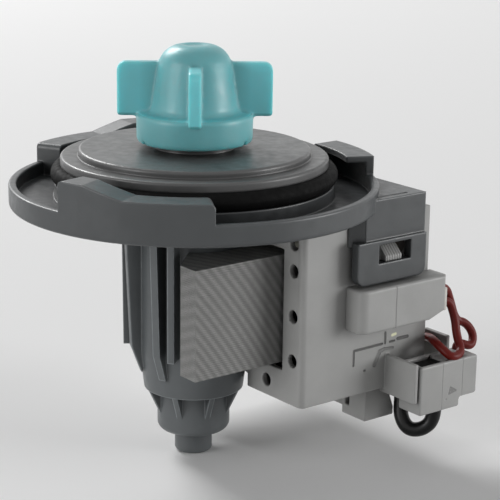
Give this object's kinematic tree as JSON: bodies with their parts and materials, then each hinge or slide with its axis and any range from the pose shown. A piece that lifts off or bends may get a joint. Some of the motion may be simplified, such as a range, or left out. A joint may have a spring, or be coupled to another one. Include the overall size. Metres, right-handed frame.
{
  "type": "dishwasher drain pump",
  "caption": "Bayonet-mounted synchronous drain pump: vaned impeller, sealed wet-rotor can, laminated U-core, coil housing with clip-on hood, lead wires and plug.",
  "frame": {"origin": "on the shaft axis, at the underside of the bayonet flange", "axes": "+Z along the shaft to the impeller, +X from the shaft to the coils, -Y to the side with the terminal cover and plug"},
  "size_m": [0.0975, 0.0832, 0.0957],
  "materials": {
    "grey_plastic": "fine moulded satin",
    "light_grey_plastic": "fine moulded satin",
    "white_plastic": "fine moulded satin",
    "teal_plastic": "satin, slightly translucent",
    "seal_rubber": "moulded",
    "bearing_rubber": "moulded",
    "bearing_bronze": "sintered",
    "shaft_steel": "ground",
    "ferrite": "ground ferrite",
    "rotor_plastic": "moulded",
    "washer_plastic": "smooth",
    "lamination_steel": "stacked sheet edges",
    "rivet_steel": "turned",
    "bobbin_plastic": "moulded",
    "winding_copper": "enamelled wire",
    "tab_brass": "tinned",
    "cutout_shell": "smooth",
    "red_insulation": "smooth sleeve",
    "black_insulation": "smooth sleeve"
  },
  "bodies": {
    "housing": {"bayonet_flange": "grey_plastic", "rotor_can": "grey_plastic", "front_plate": "light_grey_plastic", "seal_ring": "seal_rubber", "front_bearing": "bearing_bronze", "front_bearing_ring": "bearing_rubber", "rear_bearing": "bearing_bronze", "rear_bearing_ring": "bearing_rubber", "stator_core": "lamination_steel", "core_rivets": "rivet_steel", "coil_housing": "white_plastic", "bobbin_left": "bobbin_plastic", "bobbin_right": "bobbin_plastic", "winding_left": "winding_copper", "winding_right": "winding_copper", "terminal_cover": "white_plastic", "terminal_pins": "tab_brass", "thermal_cutout": "cutout_shell", "plug_housing": "white_plastic", "plug_contacts": "tab_brass", "red_coil_lead": "red_insulation", "red_plug_lead": "red_insulation", "black_lead": "black_insulation"},
    "rotor": {"shaft": "shaft_steel", "rotor_magnet": "ferrite", "rotor_core": "rotor_plastic", "thrust_washer_front": "washer_plastic", "thrust_washer_rear": "washer_plastic", "drive_dog": "rotor_plastic", "dog_dampers": "bearing_rubber"},
    "impeller": {"impeller": "teal_plastic", "impeller_hub_cover": "teal_plastic"}
  },
  "joints": [
    {"name": "rotor_spin", "type": "hinge", "parent": "housing", "child": "rotor", "pos_m": [0, 0, 0], "axis": [0, 0, 1], "continuous": true},
    {"name": "impeller_coupling", "type": "hinge", "parent": "rotor", "child": "impeller", "pos_m": [0, 0, 0.025], "axis": [0, 0, 1], "range_deg": [-137, 137]}
  ]
}
